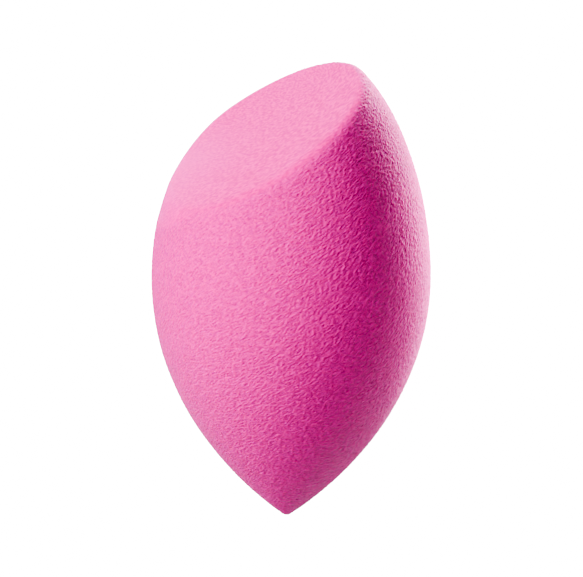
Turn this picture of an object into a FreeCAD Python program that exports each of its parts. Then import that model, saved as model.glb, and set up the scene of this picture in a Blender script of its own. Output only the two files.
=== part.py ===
import FreeCAD, Part
import math
import os

# Makeup sponge: one block of soft foam, ground round and then cut once on the slant.
# Lengths are in millimetres and angles in degrees.
# It lies on its side on a table. Z points up, and X is the long axis, from the tip to the cut.
# The origin is the centre of the belly, which is the widest circle.

# Body from the belly back to the tip, turned about the long axis
belly_radius = 21.0
tip_length = 36.9          # from the belly to the end of the tip
tip_radius = 0.8           # the tip is ground blunt
tip_half_angle = 53.4      # between the long axis and the flank beside the tip
flank_reach = 16.6         # how far the flank holds the direction that it has at the tip
belly_reach_back = 13.7    # how far it holds the belly's direction, along the long axis

# Crown in front of the belly, as it is before the cut
crown_length = 35.8        # from the belly to the crown's end
belly_reach_front = 14.0   # how far the crown holds the belly's direction
crown_reach = 13.7         # how far its end holds the direction across the long axis

# Slanted cut through the crown
cut_distance = 25.7        # from the belly to where the cut crosses the long axis
cut_tilt = 35.7            # between the cut face and the upright, its top leaning to the tip
far_rim_radius = 0.7       # rounding of the cut's rim at its far end, by the table
near_rim_radius = 4.0      # rounding of the rim at its near end, on top

# Where it lies on the table
contact_depth = 0.5        # how far the soft foam gives there

hair = 0.001               # points closer than this are on one plane
centre = FreeCAD.Vector(0, 0, 0)
x_axis = FreeCAD.Vector(1, 0, 0)
y_axis = FreeCAD.Vector(0, 1, 0)


def at(along, out):
    """A point of the XZ plane, by its place along the long axis and its distance below it."""
    return FreeCAD.Vector(along, 0, -out)


def curve(*poles):
    """A smooth edge from the first pole to the last, drawn towards the two between them."""
    bezier = Part.BezierCurve()
    bezier.setPoles([at(*pole) for pole in poles])
    return bezier.toShape()


def half_outline():
    """From the tip past the belly to the end of the uncut crown, and back along the axis."""
    flank_angle = math.radians(tip_half_angle)
    arc_middle_angle = (math.pi / 2 + flank_angle) / 2
    arc_centre = tip_radius - tip_length

    def on_tip(angle):
        return arc_centre - tip_radius * math.sin(angle), tip_radius * math.cos(angle)

    flank_start = on_tip(flank_angle)
    flank_aim = (flank_start[0] + flank_reach * math.cos(flank_angle),
                 flank_start[1] + flank_reach * math.sin(flank_angle))
    tip = Part.Arc(at(-tip_length, 0), at(*on_tip(arc_middle_angle)), at(*flank_start)).toShape()
    flank = curve(flank_start, flank_aim, (-belly_reach_back, belly_radius), (0, belly_radius))
    crown = curve((0, belly_radius), (belly_reach_front, belly_radius),
                  (crown_length, crown_reach), (crown_length, 0))
    long_axis = Part.makeLine(at(crown_length, 0), at(-tip_length, 0))
    return Part.Wire([tip, flank, crown, long_axis])


def cut_away():
    """The block that the slanted cut takes off. Its back face is the cut."""
    reach = belly_radius + crown_length
    block = Part.makeBox(reach, 2 * reach, 2 * reach, FreeCAD.Vector(0, -reach, -reach))
    block.rotate(centre, y_axis, -cut_tilt)
    block.translate(at(cut_distance, 0))
    return block


def table():
    """The table's top, which the soft foam settles on."""
    reach = belly_radius + crown_length
    top = contact_depth - belly_radius
    return Part.makeBox(2 * reach, 2 * reach, reach, FreeCAD.Vector(-reach, -reach, top - reach))


def rim_of(half):
    """The edge round the cut: it lies on the cut, and off the XZ plane where the half ends."""
    tilt = math.radians(cut_tilt)
    out_of_cut = FreeCAD.Vector(math.cos(tilt), 0, math.sin(tilt))
    for edge in half.Edges:
        if edge.Degenerated:
            continue
        middle = edge.valueAt((edge.FirstParameter + edge.LastParameter) / 2)
        if middle.y > hair and abs((middle - at(cut_distance, 0)).dot(out_of_cut)) < hair:
            return edge


def foam_body():
    """Half of the body is turned, cut and rounded along the rim, mirrored, and laid down."""
    half = Part.Face(half_outline()).revolve(centre, x_axis, 180).cut(cut_away())
    rim = rim_of(half)
    rim_radii = [near_rim_radius, far_rim_radius]
    if rim.valueAt(rim.FirstParameter).x > rim.valueAt(rim.LastParameter).x:
        rim_radii.reverse()
    half = half.makeFillet(*rim_radii, [rim])
    whole = half.fuse(half.mirror(centre, y_axis)).removeSplitter()
    return whole.cut(table()).Solids[0]


os.makedirs("parts", exist_ok=True)
foam_body().exportStep("parts/foam_body.step")
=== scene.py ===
import bisect
import math

import bmesh
import bpy
from mathutils import Matrix, Quaternion, Vector, geometry, noise


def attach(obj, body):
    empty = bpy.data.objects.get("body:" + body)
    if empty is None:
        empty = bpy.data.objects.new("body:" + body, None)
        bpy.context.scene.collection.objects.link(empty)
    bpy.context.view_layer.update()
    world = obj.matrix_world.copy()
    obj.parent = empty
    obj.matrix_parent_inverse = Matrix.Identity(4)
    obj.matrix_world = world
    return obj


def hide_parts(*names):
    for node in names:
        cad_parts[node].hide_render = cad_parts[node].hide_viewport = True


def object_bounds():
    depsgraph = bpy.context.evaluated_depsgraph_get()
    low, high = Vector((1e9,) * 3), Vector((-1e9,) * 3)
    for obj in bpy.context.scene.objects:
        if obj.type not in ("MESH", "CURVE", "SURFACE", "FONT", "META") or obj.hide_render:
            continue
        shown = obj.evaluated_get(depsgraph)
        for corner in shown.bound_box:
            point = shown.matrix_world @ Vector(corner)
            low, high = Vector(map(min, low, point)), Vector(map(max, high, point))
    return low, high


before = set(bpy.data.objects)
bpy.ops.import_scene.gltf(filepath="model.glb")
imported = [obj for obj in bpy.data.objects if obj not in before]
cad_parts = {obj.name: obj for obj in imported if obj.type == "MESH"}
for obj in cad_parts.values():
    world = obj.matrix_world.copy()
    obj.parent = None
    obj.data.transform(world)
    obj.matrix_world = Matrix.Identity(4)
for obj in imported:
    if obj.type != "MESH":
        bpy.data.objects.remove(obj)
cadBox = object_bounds()

mm = 0.001
tiny = 1e-6     # keeps a division from zero


# Helpers for every piece

def linear(hexColour):
    # an sRGB hex colour as the linear numbers that Blender's sockets take
    parts = [int(hexColour[i:i + 2], 16) / 255 for i in (1, 3, 5)]
    return [c / 12.92 if c <= 0.04045 else ((c + 0.055) / 1.055) ** 2.4 for c in parts] + [1.0]


def inUse(sockets, key):
    # the socket of that number, or the one of that name that the node's settings leave on
    if isinstance(key, int):
        return sockets[key]
    return next(socket for socket in sockets if socket.name == key and socket.enabled)


def addNode(tree, kind, settings=None, inputs=None):
    # settings are the node's own fields; an input is a fixed value or another node's output
    node = tree.nodes.new(kind)
    for name, value in (settings or {}).items():
        setattr(node, name, value)
    for key, value in (inputs or {}).items():
        socket = inUse(node.inputs, key)
        if isinstance(value, bpy.types.NodeSocket):
            tree.links.new(value, socket)
        else:
            socket.default_value = value
    return node


def newMaterial(name):
    material = bpy.data.materials.new(name)
    material.use_nodes = True
    material.node_tree.nodes.clear()
    return material, material.node_tree


def smoothStep(low, high, value):
    t = min(max((value - low) / (high - low), 0.0), 1.0)
    return t * t * (3 - 2 * t)


def bell(value, width):
    return math.exp(-(value / width) ** 2)


def objectFrom(bm, name):
    mesh = bpy.data.meshes.new(name)
    bm.to_mesh(mesh)
    bm.free()
    made = bpy.data.objects.new(name, mesh)
    bpy.context.scene.collection.objects.link(made)
    return made


def applyModifiers(made):
    # the object's mesh becomes what its modifiers show
    graph = bpy.context.evaluated_depsgraph_get()
    mesh = bpy.data.meshes.new_from_object(made.evaluated_get(graph))
    made.modifiers.clear()
    old, made.data = made.data, mesh
    bpy.data.meshes.remove(old)


# The sponge: a drop of foam lying on its side, tip at -X, cut on the slant at +X

foam = {
    # the round and its cut, in millimetres and degrees
    "bellyRadius": 21.0,
    "tipLength": 36.9,          # from the belly to the end of the tip
    "tipRadius": 0.8,
    "tipHalfAngle": 53.4,       # between the long axis and the flank beside the tip
    "flankReach": 16.6,         # how far the flank holds the direction that it has at the tip
    "bellyReachBack": 13.7,     # how far it holds the belly's
    "crownLength": 35.8,        # from the belly to the end of the crown, as it is before the cut
    "bellyReachFront": 14.0,    # how far the crown holds the belly's direction
    "crownReach": 13.7,         # how far its end holds the direction across the long axis
    "cutDistance": 25.7,        # from the belly to where the cut crosses the long axis
    "cutTilt": 35.7,            # between the cut and the upright

    # the mesh
    "tipSteps": 6,
    "curveSteps": 60,
    "turnSteps": 180,
    "meshStep": 0.35,           # millimetres, before it is divided once
    "smoothPasses": 3,
    "smoothShare": 0.5,         # how far each pass moves a point

    # the ground skin's grain, in millimetres
    "ridgePitch": 0.55,         # from one ridge to the next
    "ridgeHeight": 0.065,
    "lean": 1.0,                # the ridges climb by this much round the body for each mm along it
    "tightest": 7.0,            # the radius below which they wind no faster
    "noisePerRidge": 2.0,       # Blender's noise has its own ridges about 2 units apart
    "broad": 1.2,               # strength of the broad ridges
    "fine": 1.1,                # strength of the finer ones
    "finer": 1.6,               # how much finer those are
    "waver": 0.3,               # how far the ridges wander off their line, in half ridges
    "waverPace": 0.9,           # how often they do, for each ridge
    "lumpPitch": 9.0,           # slow unevenness of the hand-ground round
    "lumpHeight": 0.05,
    "seed": 11,

    # where the skin ends and the knife-cut face starts, in millimetres
    "cutGrain": 0.25,           # how much of the grain the cut face keeps
    "skinDepth": (0.12, 0.42),  # how deep below the uncut round the skin fades into the face
    "lap": 0.9,                 # how much deeper it laps over the rim at its far end, by the table
    "lapFrom": (3.0, 9.0),      # how far below the long axis that grows from nothing
    "flatFacing": -0.99,        # a point whose normal looks down by this much is on the flat

    # the rim, worn at the far top of the cut and full beside that, in millimetres and degrees
    "wornAside": (-8.0, 14.0),  # the wear grows from nothing between these places across the body
    "wornUp": (2.0, 13.0),      # and between these heights
    "wornDepth": 0.46,
    "wornWidth": 3.2,
    "rubbed": 4.2,              # how far behind the cut the skin is rubbed smooth there
    "rubbedEdge": (0.9, 1.15),  # where the rubbed zone fades out, as shares of that
    "rubbedGain": 4.0,          # it is smooth all through from a quarter of the full wear on
    "full": 0.6,                # how far the rim stands out
    "fullAt": 77.0,             # where, counted from the top to the far side
    "fullWidth": 27.0,
    "fullReach": 9.0,           # how far behind the cut
    "fullPower": 3,             # how fast it dies out towards the middle of the cut face

    # colours and light
    "skin": "#fa38aa",
    # painted shade: the colour that pits and open cells darken towards
    "pitShadeColour": "#a81c70",
    "cut": "#ff30a8",
    "haze": "#e0208f",
    # painted sheen: the paler colour that the worn rim turns to
    "wornAndPaintedSheen": "#ff55b6",
    "nap": "#ffe8fa",
    "napWeight": 0.24,          # of the skin
    "cutNap": (0.20, 0.15),     # of the cut face, where it is even and where it is hazy
    "hazeInRidge": 1.15,        # specks of haze for each ridge, both ways
    "hazeSpan": (0.35, 0.65),   # noise between which the face goes from even to hazy
    "paintedSheenShare": 0.55,          # how far the worn rim takes the paler colour, a painted sheen
    "pitShadeSpan": (0.6, -0.6),     # ridge height between which the skin darkens into a pit with painted shade
    "pitShadeShare": 0.38,           # how far a pit takes the painted shade's colour
    "cellsInRidge": 1.25,       # cells for each ridge, both ways
    "cellShadeSpan": (0.7, 0.1),     # distance from a cell's middle between which it darkens with painted shade
    "cellShadeShare": 0.30,          # how far it takes the painted shade's colour
    "cellRelief": 0.10,         # millimetres
    "cutRelief": 0.35,          # how much of that the cut face keeps
    "lightInside": 0.3,         # share of the light that wanders inside
    "lightColours": (1.0, 0.30, 0.55),  # how far red, green and blue wander, as shares of the depth
    "lightDepth": 0.3,          # millimetres
    "roughness": 0.85,
    "gloss": 0.2,
    "ior": 1.45,
    "napRoughness": 0.5,
}


def cutPlane():
    # a point of the cut and the direction that it faces
    tilt = math.radians(foam["cutTilt"])
    return Vector((foam["cutDistance"] * mm, 0, 0)), Vector((math.cos(tilt), 0, math.sin(tilt)))


def outlinePoints():
    # from the tip's end over the belly to the uncut crown, above the long axis
    angle = math.radians(foam["tipHalfAngle"])
    tipRadius = foam["tipRadius"]
    tipCentre = tipRadius - foam["tipLength"]
    tip = []
    for step in range(foam["tipSteps"] + 1):
        turn = math.pi / 2 + (angle - math.pi / 2) * step / foam["tipSteps"]
        tip.append(Vector((tipCentre - tipRadius * math.sin(turn), 0, tipRadius * math.cos(turn))))
    flankAim = tip[-1] + foam["flankReach"] * Vector((math.cos(angle), 0, math.sin(angle)))
    belly = Vector((0, 0, foam["bellyRadius"]))
    behindBelly = belly - Vector((foam["bellyReachBack"], 0, 0))
    beforeBelly = belly + Vector((foam["bellyReachFront"], 0, 0))
    crownAim = Vector((foam["crownLength"], 0, foam["crownReach"]))
    crownEnd = Vector((foam["crownLength"], 0, 0))
    flank = geometry.interpolate_bezier(tip[-1], flankAim, behindBelly, belly, foam["curveSteps"])
    crown = geometry.interpolate_bezier(belly, beforeBelly, crownAim, crownEnd, foam["curveSteps"])
    return [point * mm for point in tip + flank[1:] + crown[1:]]


def grindAndCut():
    # turn the outline into a round, then slice the crown off
    samePlace = 0.001 * mm
    onCut = 0.0001 * mm
    bm = bmesh.new()
    chain = [bm.verts.new(point) for point in outlinePoints()]
    for pair in zip(chain, chain[1:]):
        bm.edges.new(pair)
    bmesh.ops.spin(bm, geom=bm.verts[:] + bm.edges[:], cent=(0, 0, 0), axis=(1, 0, 0),
                   angle=2 * math.pi, steps=foam["turnSteps"], use_merge=True, use_duplicate=False)
    bmesh.ops.remove_doubles(bm, verts=bm.verts, dist=samePlace)
    place, out = cutPlane()
    sliced = bmesh.ops.bisect_plane(bm, geom=bm.verts[:] + bm.edges[:] + bm.faces[:], dist=onCut,
                                    plane_co=place, plane_no=out, clear_outer=True)
    rim = [entry for entry in sliced["geom_cut"] if isinstance(entry, bmesh.types.BMEdge)]
    bmesh.ops.edgenet_fill(bm, edges=rim)
    bmesh.ops.recalc_face_normals(bm, faces=bm.faces)
    return objectFrom(bm, "spongeFoam")


def fitToSolid(sponge):
    # even mesh, then drawn onto the CAD solid, which has the rounded rim and the flat on the table
    even = sponge.modifiers.new("even", "REMESH")
    even.mode, even.voxel_size = "VOXEL", foam["meshStep"] * mm
    onSolid = sponge.modifiers.new("onSolid", "SHRINKWRAP")
    onSolid.target, onSolid.wrap_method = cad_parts["foam_body"], "NEAREST_SURFACEPOINT"
    applyModifiers(sponge)
    bm = bmesh.new()
    bm.from_mesh(sponge.data)
    for _ in range(foam["smoothPasses"]):
        bmesh.ops.smooth_vert(bm, verts=bm.verts, factor=foam["smoothShare"],
                              use_axis_x=True, use_axis_y=True, use_axis_z=True)
    bm.to_mesh(sponge.data)
    bm.free()
    finer = sponge.modifiers.new("finer", "SUBSURF")
    finer.levels = finer.render_levels = 1
    applyModifiers(sponge)


def outlineRows():
    # place along the axis, distance from it, and how far the ridges have wound round it by there
    rows, wound = [], 0.0
    points = [point / mm for point in outlinePoints()]
    for before, after in zip(points, points[1:]):
        rows.append((before.x, before.z, wound))
        wound += foam["lean"] * (after - before).length / max(after.z, foam["tightest"])
    return rows + [(points[-1].x, points[-1].z, wound)]


def atPlace(rows, along):
    # the uncut round's radius and the winding at a place along the axis
    index = min(max(bisect.bisect(rows, (along,)), 1), len(rows) - 1)
    before, after = rows[index - 1], rows[index]
    share = min(max((along - before[0]) / max(after[0] - before[0], tiny), 0.0), 1.0)
    return [first + (second - first) * share for first, second in zip(before[1:], after[1:])]


def grainPlace(point, wound):
    # the point as the grain sees it: unwound, one unit a ridge
    return Quaternion((1, 0, 0), -wound) @ point / foam["ridgePitch"]


def ridgeAt(place):
    # from about -1 in a pit to 1 on a ridge
    warped = place * foam["noisePerRidge"]
    wander = noise.noise_vector(place * foam["waverPace"] + Vector((foam["seed"], 0, 0)))
    warped += wander * foam["waver"]
    finer = warped * foam["finer"] + Vector((0, foam["seed"], 0))
    return foam["broad"] * noise.noise(warped) + foam["fine"] * noise.noise(finer)


def wearAt(point):
    # 1 where the rim is worn most, at the far top of the cut, which is also where it is painted paler, a
    # painted sheen
    return smoothStep(*foam["wornAside"], point.y) * smoothStep(*foam["wornUp"], point.z)


def cutShareAt(point, behindCut, underSkin, wearAndPaintedSheen):
    # 1 on the knife-cut face and where the rim is rubbed smooth, and 0 on the ground skin
    leastReach = 0.01
    lap = foam["lap"] * smoothStep(*foam["lapFrom"], -point.z)
    onFace = smoothStep(*foam["skinDepth"], underSkin - lap)
    reach = max(foam["rubbed"] * wearAndPaintedSheen, leastReach)
    inner, outer = foam["rubbedEdge"]
    rubbed = 1 - smoothStep(inner * reach, outer * reach, behindCut)
    return max(onFace, rubbed * min(1.0, foam["rubbedGain"] * wearAndPaintedSheen))


def offRound(point, normal, radius, behindCut, underSkin, wearAndPaintedSheen):
    # how far the rim is off the true round: worn at the far top, and full beside it
    leastRadius = 1.0
    wornAndPaintedSheen = foam["wornDepth"] * wearAndPaintedSheen * bell(math.hypot(behindCut, underSkin), foam["wornWidth"])
    angle = math.degrees(math.atan2(point.y, point.z))
    full = foam["full"] * bell(angle - foam["fullAt"], foam["fullWidth"]) * bell(behindCut, foam["fullReach"])
    aside = Vector((0, point.y, point.z))
    share = aside.length / max(radius, leastRadius)
    return normal * -wornAndPaintedSheen + aside.normalized() * full * share ** foam["fullPower"]


def addGrain(sponge):
    noise.seed_set(foam["seed"])    # or the ridges wander differently each time
    rows = outlineRows()
    cut, outOfCut = cutPlane()
    bm = bmesh.new()
    bm.from_mesh(sponge.data)
    bm.normal_update()
    cutShares, paintedSheenShares, ridges, grainPlaces, places = [], [], [], [], []
    for vert in bm.verts:
        point = vert.co / mm
        radius, wound = atPlace(rows, point.x)
        behindCut = (cut / mm - point).dot(outOfCut)
        underSkin = radius - math.hypot(point.y, point.z)
        wearAndPaintedSheen = wearAt(point)
        cutShare = cutShareAt(point, behindCut, underSkin, wearAndPaintedSheen)
        if point.z < 0 and vert.normal.z < foam["flatFacing"]:
            cutShare = 0.0      # the flat on the table is ground skin, pressed in
        grain = grainPlace(point, wound)
        ridge = ridgeAt(grain)
        lump = noise.noise(point / foam["lumpPitch"] + Vector((0, 0, foam["seed"]))) * (1 - cutShare)
        raised = ridge * (1 + (foam["cutGrain"] - 1) * cutShare) * foam["ridgeHeight"]
        raised += lump * foam["lumpHeight"]
        off = offRound(point, vert.normal, radius, behindCut, underSkin, wearAndPaintedSheen)
        cutShares.append(cutShare)
        # where the worn rim is painted paler, a painted sheen
        paintedSheenShares.append(wearAndPaintedSheen * cutShare)
        ridges.append(ridge)
        grainPlaces.extend(grain)
        places.append(vert.co + (vert.normal * raised + off) * mm)
    for vert, place in zip(bm.verts, places):
        vert.co = place
        vert.co.z = max(vert.co.z, cadBox[0].z)    # nothing goes through the table
    mesh = sponge.data
    bm.to_mesh(mesh)
    bm.free()
    for name, values in (("cutFace", cutShares), ("wearAndPaintedSheen", paintedSheenShares), ("ridge", ridges)):
        mesh.attributes.new(name, "FLOAT", "POINT").data.foreach_set("value", values)
    mesh.attributes.new("grain", "FLOAT_VECTOR", "POINT").data.foreach_set("vector", grainPlaces)
    mesh.polygons.foreach_set("use_smooth", [True] * len(mesh.polygons))
    mesh.update()


def groundFoam():
    # Soft polyurethane foam, ground: fine open cells with a short nap. It takes light in and
    # lets it out again nearby, has no gloss, and its nap pales it where it is seen edge on.
    material, tree = newMaterial("groundPolyurethaneFoam")
    cutFace = addNode(tree, "ShaderNodeAttribute", {"attribute_name": "cutFace"}).outputs["Fac"]
    wearAndPaintedSheen = addNode(tree, "ShaderNodeAttribute", {"attribute_name": "wearAndPaintedSheen"}).outputs["Fac"]
    ridge = addNode(tree, "ShaderNodeAttribute", {"attribute_name": "ridge"}).outputs["Fac"]
    grain = addNode(tree, "ShaderNodeAttribute", {"attribute_name": "grain"}).outputs["Vector"]
    colours = {"data_type": "RGBA"}

    # the skin, with painted shade in the pits between its ridges and in its open cells; the cells are
    # drawn 0.44 mm wide, coarser than the real 0.3 mm, because those are too fine to show
    cells = addNode(tree, "ShaderNodeTexVoronoi", inputs={"Vector": grain, "Scale": foam["cellsInRidge"]})
    low = addNode(tree, "ShaderNodeMapRange", inputs={
        "Value": ridge, "From Min": foam["pitShadeSpan"][0], "From Max": foam["pitShadeSpan"][1],
        "To Max": foam["pitShadeShare"]})
    paintedCellShade = addNode(tree, "ShaderNodeMapRange", inputs={
        "Value": cells.outputs["Distance"], "From Min": foam["cellShadeSpan"][0],
        "From Max": foam["cellShadeSpan"][1], "To Max": foam["cellShadeShare"]})
    paintedShade = addNode(tree, "ShaderNodeMath", {"operation": "ADD", "use_clamp": True}, {
        0: low.outputs["Result"], 1: paintedCellShade.outputs["Result"]})
    skin = addNode(tree, "ShaderNodeMix", colours, {
        "Factor": paintedShade.outputs["Value"], "A": linear(foam["skin"]), "B": linear(foam["pitShadeColour"])})

    # the cut face, with specks of haze, and the worn rim, painted paler as a painted sheen
    mottle = addNode(tree, "ShaderNodeTexNoise", inputs={
        "Vector": grain, "Scale": foam["hazeInRidge"], "Detail": 1.0, "Roughness": 0.5})
    specks = addNode(tree, "ShaderNodeMapRange", inputs={
        "Value": mottle.outputs["Fac"], "From Min": foam["hazeSpan"][0], "From Max": foam["hazeSpan"][1]})
    cut = addNode(tree, "ShaderNodeMix", colours, {
        "Factor": specks.outputs["Result"], "A": linear(foam["cut"]), "B": linear(foam["haze"])})
    surface = addNode(tree, "ShaderNodeMix", colours, {
        "Factor": cutFace, "A": inUse(skin.outputs, "Result"), "B": inUse(cut.outputs, "Result")})
    # painted sheen: the worn rim turns paler
    wornAndPaintedSheen = addNode(tree, "ShaderNodeMath", {"operation": "MULTIPLY"}, {0: wearAndPaintedSheen, 1: foam["paintedSheenShare"]})
    tint = addNode(tree, "ShaderNodeMix", colours, {
        "Factor": wornAndPaintedSheen.outputs["Value"], "A": inUse(surface.outputs, "Result"), "B": linear(foam["wornAndPaintedSheen"])})

    # the nap, as sheen, and the cells' relief
    cutNap = addNode(tree, "ShaderNodeMapRange", inputs={
        "Value": specks.outputs["Result"], "To Min": foam["cutNap"][0], "To Max": foam["cutNap"][1]})
    nap = addNode(tree, "ShaderNodeMapRange", inputs={
        "Value": cutFace, "To Min": foam["napWeight"], "To Max": cutNap.outputs["Result"]})
    relief = addNode(tree, "ShaderNodeMapRange", inputs={
        "Value": cutFace, "To Min": 1.0, "To Max": foam["cutRelief"]})
    bump = addNode(tree, "ShaderNodeBump", inputs={
        "Height": cells.outputs["Distance"], "Strength": relief.outputs["Result"],
        "Distance": foam["cellRelief"] * mm})
    shader = addNode(tree, "ShaderNodeBsdfPrincipled", {"subsurface_method": "RANDOM_WALK"}, {
        "Base Color": inUse(tint.outputs, "Result"), "Normal": bump.outputs["Normal"],
        "Roughness": foam["roughness"], "IOR": foam["ior"], "Specular IOR Level": foam["gloss"],
        "Subsurface Weight": foam["lightInside"], "Subsurface Radius": foam["lightColours"],
        "Subsurface Scale": foam["lightDepth"] * mm, "Sheen Weight": nap.outputs["Result"],
        "Sheen Roughness": foam["napRoughness"], "Sheen Tint": linear(foam["nap"])})
    addNode(tree, "ShaderNodeOutputMaterial", inputs={"Surface": shader.outputs["BSDF"]})
    return material


print("sponge: grinding and cutting")
sponge = grindAndCut()
fitToSolid(sponge)
print("sponge: raising the grain on", len(sponge.data.vertices), "points")
addGrain(sponge)
sponge.data.materials.append(groundFoam())
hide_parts("foam_body")
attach(sponge, "root")


# The studio: a pale table that glows, soft lamps above it, and lamps under it that shine through

studio = {
    "tableSize": 6.0,           # metres
    "tableLook": "#f7f7f8",
    "tableRoughness": 0.6,
    "glowLook": "#ffffff",
    "tableGlow": 5.0,
    "worldLook": "#ffffff",
    "worldStrength": 0.02,
}

lamps = {
    # place, aim and size in metres, power in watts
    "overheadSoftbox": {"place": (0, 0, 0.60), "aim": (0, 0, 0), "size": (0.45, 0.45), "power": 0.50},
    "cutEndSoftbox": {"place": (0.35, 0, 0.50), "aim": (0, 0, 0), "size": (0.40, 0.40), "power": 5.35},
    "frontSoftbox": {"place": (-0.04, -0.20, 0.56), "aim": (0, 0, 0), "size": (0.45, 0.45), "power": 3.45},
    "lampUnderBack": {"place": (0.215, 0.155, -0.425), "aim": (0, 0, 0), "size": (0.25, 0.25), "power": 8.6},
    "lampUnderTip": {"place": (-0.25, 0, -0.43), "aim": (0, 0, 0), "size": (0.25, 0.25), "power": 2.0},
    "lampUnderCut": {"place": (0.3, 0.3, -0.2), "aim": (0, 0, 0), "size": (0.25, 0.25), "power": 2.3},
    "tableLight": {"place": (0, -0.02, -0.0203), "aim": (0, -0.02, 1), "size": (0.04, 0.04),
                   "power": 0.00485},
}


def makeTable():
    bm = bmesh.new()
    bmesh.ops.create_grid(bm, x_segments=1, y_segments=1, size=studio["tableSize"] / 2,
                          matrix=Matrix.Translation((0, 0, cadBox[0].z)))
    table = objectFrom(bm, "table")
    # opal acrylic: white right through, and it glows a little
    material, tree = newMaterial("opalAcrylic")
    white = addNode(tree, "ShaderNodeBsdfPrincipled", inputs={
        "Base Color": linear(studio["tableLook"]), "Roughness": studio["tableRoughness"],
        "Emission Color": linear(studio["glowLook"]), "Emission Strength": studio["tableGlow"]})
    addNode(tree, "ShaderNodeOutputMaterial", inputs={"Surface": white.outputs["BSDF"]})
    table.data.materials.append(material)
    # the lamps under it shine through, and what it throws on the foam is the tableLight's work
    table.visible_diffuse = table.visible_glossy = table.visible_shadow = False


def hangLamp(name, place, aim, size, power):
    lamp = bpy.data.lights.new(name, "AREA")
    lamp.shape, lamp.size, lamp.size_y, lamp.energy = "RECTANGLE", size[0], size[1], power
    holder = bpy.data.objects.new(name, lamp)
    bpy.context.scene.collection.objects.link(holder)
    holder.location = place
    holder.rotation_mode = "QUATERNION"
    holder.rotation_quaternion = (Vector(aim) - Vector(place)).to_track_quat("-Z", "Y")
    holder.visible_camera = False


def lightRoom():
    world = bpy.data.worlds.new("room")
    world.use_nodes = True
    background = world.node_tree.nodes["Background"]
    background.inputs["Color"].default_value = linear(studio["worldLook"])
    background.inputs["Strength"].default_value = studio["worldStrength"]
    bpy.context.scene.world = world
    for name, lamp in lamps.items():
        hangLamp(name, **lamp)


cameraSetup = {
    # it looks down on the lying sponge and is turned a quarter, so the tip is at the bottom
    "azimuth": 11.845,
    "elevation": 32.225,
    "roll": -95.25,
    "distance": 0.500,
    "lens": 205.3,
    "sensor": 36.0,
    "shift": (0.0006, -0.0200),
    "clip": (0.05, 20.0),
}


def placeCamera():
    azimuth = math.radians(cameraSetup["azimuth"])
    elevation = math.radians(cameraSetup["elevation"])
    roll = Quaternion((0, 0, 1), math.radians(cameraSetup["roll"]))
    back = Vector((math.sin(azimuth) * math.cos(elevation), -math.cos(azimuth) * math.cos(elevation),
                   math.sin(elevation)))
    lens = bpy.data.cameras.new("camera")
    lens.lens, lens.sensor_width = cameraSetup["lens"], cameraSetup["sensor"]
    lens.shift_x, lens.shift_y = cameraSetup["shift"]
    lens.clip_start, lens.clip_end = cameraSetup["clip"]
    camera = bpy.data.objects.new("camera", lens)
    bpy.context.scene.collection.objects.link(camera)
    camera.location = back * cameraSetup["distance"]
    camera.rotation_mode = "QUATERNION"
    camera.rotation_quaternion = (-back).to_track_quat("-Z", "Y") @ roll
    bpy.context.scene.camera = camera


print("studio: table, lamps and camera")
makeTable()
lightRoom()
placeCamera()
view = bpy.context.scene.view_settings
view.view_transform = "AgX"
view.look = "AgX - High Contrast"
